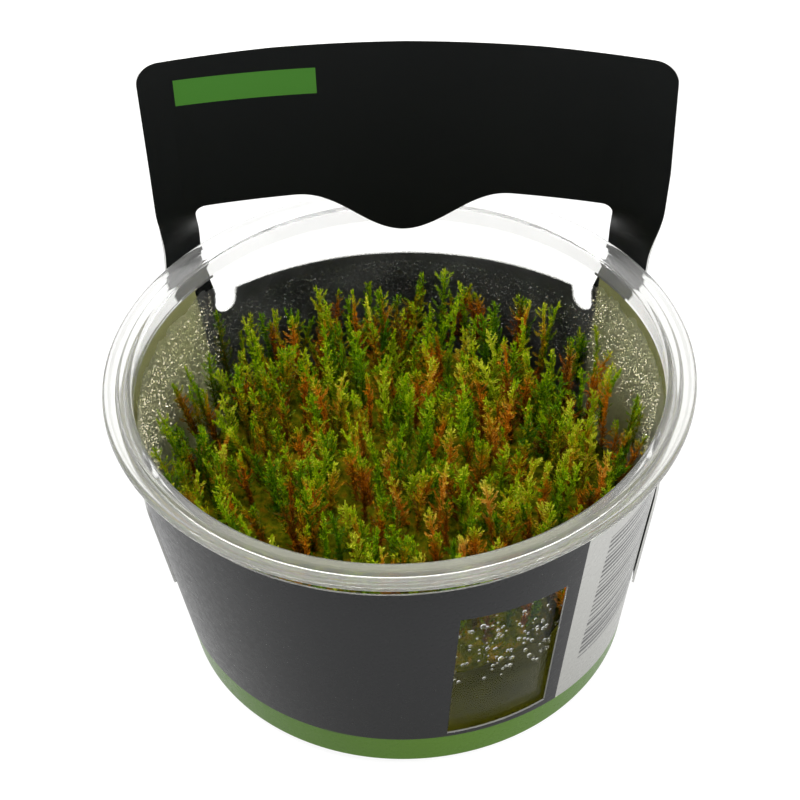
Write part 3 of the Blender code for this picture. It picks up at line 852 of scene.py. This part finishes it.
def make_moss():
    rng = np.random.default_rng(41)
    material = moss_material()
    reach = wall_radius(43.0) - WALL - 1.0
    groups = [[] for _ in range(5)]
    for i, spot in enumerate(spread_points(rng, reach, 2.75, 12000)):
        lump = noise.noise(Vector((spot[0] / 8.0, spot[1] / 8.0, 3.0)))
        top = 42.0 + 5.0 * lump + rng.normal(0, 1.8)
        if rng.uniform() < 0.15:
            top -= 4.5
        shrink = (wall_radius(21.0) - WALL - 1.5) / reach
        sway = Vector((spot[0] / 11.0, spot[1] / 11.0, 0.0))
        lean = np.array([noise.noise(sway), noise.noise(sway + Vector((0, 0, 7.0)))]) * 5.0
        base = np.array([*(spot * shrink - lean * 0.4 + rng.normal(0, 0.8, 2)), GEL_HEIGHT + 0.6])
        tip = np.array([*(spot + lean * 0.6 + rng.normal(0, 1.4, 2)), min(top, 46.5)])
        patch = noise.noise(Vector((spot[0] / 5.0, spot[1] / 5.0, 9.0)))
        rust = float(np.clip(0.38 + 0.9 * patch + rng.normal(0, 0.22), 0.0, 1.0))
        groups[i % 5] += shoot(rng, base, tip, rng.uniform(2.1, 3.5), rust)
    for i, group in enumerate(groups):
        vertices, faces, tints = joined(group)
        limit = wall_radius(vertices[:, 2]) - WALL - 0.12
        beyond = np.maximum(np.hypot(vertices[:, 0], vertices[:, 1]) / limit, 1.0)
        vertices[:, :2] /= beyond[:, None]
        mesh = mesh_from_arrays(f"moss_shoots_{i + 1}", vertices, faces, tints)
        add_piece(f"moss_shoots_{i + 1}", mesh, "moss_clump", [material], 0)


# Dew on the inside of the wall

def dome(segments, rings):
    """A unit drop that sits on z = 0, as vertices and triangles. Its underside is closed."""
    vertices = [(0.0, 0.0, 1.0)]
    for ring in range(1, rings + 1):
        tilt = math.pi / 2 * ring / rings
        for i in range(segments):
            turn = math.tau * i / segments
            vertices.append((math.sin(tilt) * math.cos(turn), math.sin(tilt) * math.sin(turn), math.cos(tilt)))
    vertices.append((0.0, 0.0, 0.0))
    faces = [(0, 1 + i, 1 + (i + 1) % segments) for i in range(segments)]
    for ring in range(rings - 1):
        for i in range(segments):
            a, b = 1 + ring * segments + i, 1 + ring * segments + (i + 1) % segments
            faces += [(a, a + segments, b + segments), (a, b + segments, b)]
    last = 1 + (rings - 1) * segments
    faces += [(len(vertices) - 1, last + (i + 1) % segments, last + i) for i in range(segments)]
    return np.array(vertices), np.array(faces)


def dew_on_wall(name, rng, count, size_range, azimuths, heights, shape, material, depth=1.3):
    """Drops on the inner wall: azimuths and heights are functions that draw a place."""
    unit_vertices, unit_faces = dome(*shape)
    vertices, faces = [], []
    for i in range(count):
        azimuth, height = math.radians(azimuths()), heights()
        radius = wall_radius(height) - WALL - 0.015
        size = rng.uniform(*size_range) * rng.uniform(0.5, 1.0)
        inward = Vector((-math.sin(azimuth), -math.cos(azimuth), 0.0))
        along = Vector((math.cos(azimuth), -math.sin(azimuth), 0.0))
        basis = np.array([along * size, Vector((0, 0, 1)) * size * rng.uniform(0.7, 1.0), inward * size * depth])
        centre = np.array([radius * math.sin(azimuth), radius * math.cos(azimuth), height])
        vertices.append(unit_vertices @ basis + centre)
        faces.append(unit_faces + i * len(unit_vertices))
    mesh = mesh_from_arrays(name, np.concatenate(vertices), np.concatenate(faces))
    add_piece(name, mesh, None, [material], 50.0)


def make_dew():
    rng = np.random.default_rng(7)

    def water(name, tint, clear, index, coat):
        shader = Shader(name)
        shader.set(Base_Color=tint, Transmission_Weight=clear, IOR=index, Coat_Weight=coat)
        shader.set(Coat_Roughness=0.05, Coat_IOR=1.5)
        shader.set(Roughness=shader.range(shader.noise(300.0), 0.3, 0.7, 0.02, 0.12))
        return shader.material

    def sides():
        return float(rng.choice([rng.uniform(262.0, 311.0), rng.uniform(54.0, 92.0)]))

    def back():
        return float(rng.uniform(-52.0, 54.0))

    def near_window():
        return rng.uniform(WINDOW_TOP_RIGHT[0] - 3.0, WINDOW_BOTTOM_LEFT[0] + 3.0)

    # These drops are only partly clear: their diffuse warm gold colour is painted glint and painted bounce light
    # from the moss, under a real clear coat.
    bright = water("dew_painted_light", (0.9, 0.85, 0.62, 1.0), 0.35, 1.25, 0.8)
    faint = water("dew_faint", (0.97, 0.97, 0.93, 1.0), 0.95, 1.2, 0.8)
    clear = water("dew_clear", (0.98, 0.98, 0.96, 1.0), 1.0, 1.33, 0.0)
    dew_on_wall("dew_small", rng, 5200, (0.05, 0.13), sides, lambda: rng.uniform(33.0, 50.2), (6, 2), bright)
    dew_on_wall("dew_sides", rng, 750, (0.13, 0.3), sides, lambda: rng.uniform(35.0, 48.5), (8, 3), bright)
    dew_on_wall("dew_back", rng, 2600, (0.08, 0.22), back, lambda: rng.uniform(30.0, 44.0), (6, 2), faint)
    dew_on_wall(
        "dew_window", rng, 150, (0.12, 0.6), near_window, lambda: rng.uniform(21.0, 42.0), (14, 6), clear, 0.6
    )


# Stage, light and camera

def make_stage():
    mesh = bpy.data.meshes.new("floor")
    half = 3.0
    mesh.from_pydata([(-half, -half, 0), (half, -half, 0), (half, half, 0), (-half, half, 0)], [], [(0, 1, 2, 3)])
    floor = bpy.data.objects.new("floor", mesh)
    bpy.context.scene.collection.objects.link(floor)
    floor.location.z = -0.00005
    shader = Shader("floor")
    tone = shader.mix(shader.noise(0.6), (0.1, 0.1, 0.1, 1.0), (0.12, 0.12, 0.12, 1.0))
    shader.set(Base_Color=tone, Roughness=0.8, Emission_Color=(1.0, 1.0, 1.0, 1.0), Emission_Strength=0.92)
    mesh.materials.append(shader.material)


def add_light(name, place, aim, size, watts):
    light = bpy.data.lights.new(name, "AREA")
    light.shape = "RECTANGLE"
    light.size, light.size_y = size
    light.energy = watts
    obj = bpy.data.objects.new(name, light)
    bpy.context.scene.collection.objects.link(obj)
    obj.location = place
    obj.rotation_euler = (Vector(aim) - Vector(place)).to_track_quat("-Z", "Y").to_euler()


def make_light():
    world = bpy.data.worlds.new("studio")
    bpy.context.scene.world = world
    world.use_nodes = True
    world.node_tree.nodes["Background"].inputs["Color"].default_value = (1.0, 1.0, 1.0, 1.0)
    world.node_tree.nodes["Background"].inputs["Strength"].default_value = 0.45
    add_light("back_box", (0.0, 0.62, 0.62), (0.0, 0.0, 0.04), (0.9, 0.4), 3.6)
    add_light("top_box", (0.0, -0.05, 0.75), (0.0, 0.0, 0.04), (0.3, 0.3), 2.8)
    add_light("key_left", (-0.42, 0.05, 0.62), (0.0, 0.0, 0.04), (0.12, 0.12), 3.0)
    add_light("key_right", (0.4, -0.25, 0.55), (0.0, 0.0, 0.04), (0.1, 0.1), 2.0)
    add_light("front_box", (0.25, -0.62, 0.22), (0.0, 0.0, 0.03), (0.2, 0.2), 0.7)


def make_camera():
    """The photograph's view: 42 degrees down from the front, with the image rolled a little."""
    elevation, roll = math.radians(41.93), math.radians(-2.246)
    back = Vector((0.0, -math.cos(elevation), math.sin(elevation)))
    right = Vector((1.0, 0.0, 0.0))
    up = back.cross(right)
    image_right = right * math.cos(roll) + up * math.sin(roll)
    image_up = up * math.cos(roll) - right * math.sin(roll)
    data = bpy.data.cameras.new("camera")
    data.sensor_width = 36.0
    data.lens = 90.0
    data.shift_x = 1.33 / IMAGE_SIZE
    data.shift_y = -31.82 / IMAGE_SIZE
    data.clip_start = 0.01
    camera = bpy.data.objects.new("camera", data)
    bpy.context.scene.collection.objects.link(camera)
    turn = Matrix((image_right, image_up, back)).transposed()
    place = Vector((0.0, 0.0, RIM_HEIGHT * MM)) + back * 0.33787
    camera.matrix_world = Matrix.Translation(place) @ turn.to_4x4()
    bpy.context.scene.camera = camera


make_camera()
make_light()
make_stage()
make_tub()
make_gel()
make_label()
make_card()
make_bed()
make_moss()
make_dew()
bpy.context.scene.view_settings.view_transform = "Standard"
